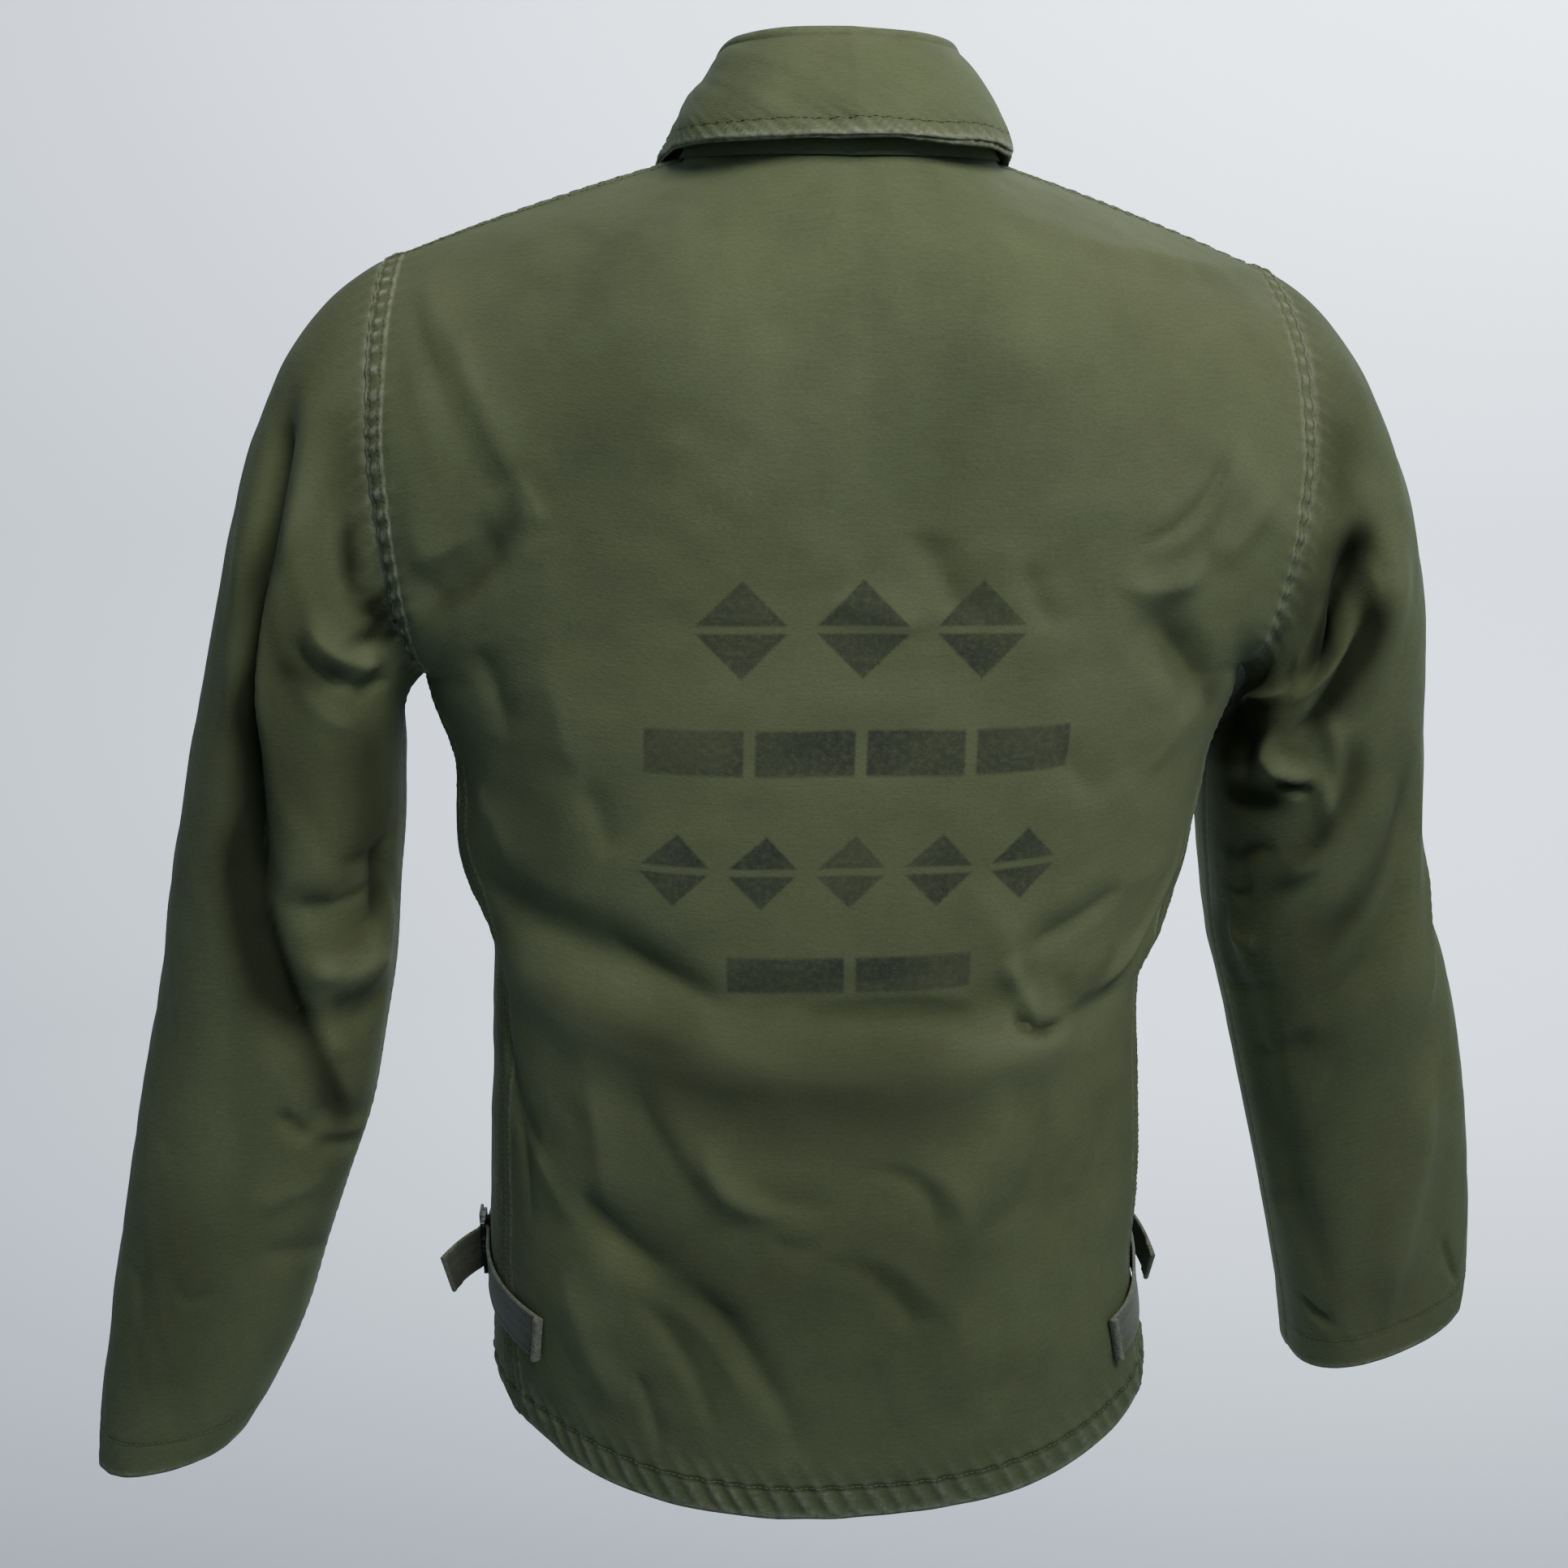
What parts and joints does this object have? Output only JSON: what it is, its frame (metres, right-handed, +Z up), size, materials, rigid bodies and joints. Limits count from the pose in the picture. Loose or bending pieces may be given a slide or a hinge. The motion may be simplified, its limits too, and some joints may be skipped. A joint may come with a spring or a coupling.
{
  "type": "jacket",
  "caption": "Deck jacket of olive cotton in its worn form, empty: fold-over collar, closed front zip, set-in sleeves, open cuffs and webbing side adjusters.",
  "frame": {"origin": "centre of the neck base, where the wearer's neck and shoulders carry the jacket", "axes": "+Z up, +X the wearer's left, +Y the wearer's back"},
  "size_m": [0.78, 0.2607, 0.7284],
  "materials": {
    "olive_cotton": "matte",
    "zip_tape": "matte",
    "zip_metal": "satin",
    "webbing": "matte",
    "buckle_metal": "matte"
  },
  "bodies": {
    "jacket": {"back": "olive_cotton", "front_left": "olive_cotton", "front_right": "olive_cotton", "sleeve_left": "olive_cotton", "sleeve_right": "olive_cotton", "collar_top": "olive_cotton", "collar_under": "olive_cotton", "zip_tape_left": "zip_tape", "zip_tape_right": "zip_tape", "zip_chain": "zip_metal", "zip_slider": "zip_metal", "strap_left": "webbing", "strap_right": "webbing", "strap_front_left": "webbing", "strap_front_right": "webbing", "buckle_left": "buckle_metal", "buckle_right": "buckle_metal"},
    "pull": {"zip_pull": "zip_metal"}
  },
  "joints": [
    {"name": "pull_swing", "type": "hinge", "parent": "jacket", "child": "pull", "pos_m": [0, -0.0978, -0.0717], "axis": [-1, 0, 0], "range_deg": [0, 150]}
  ]
}
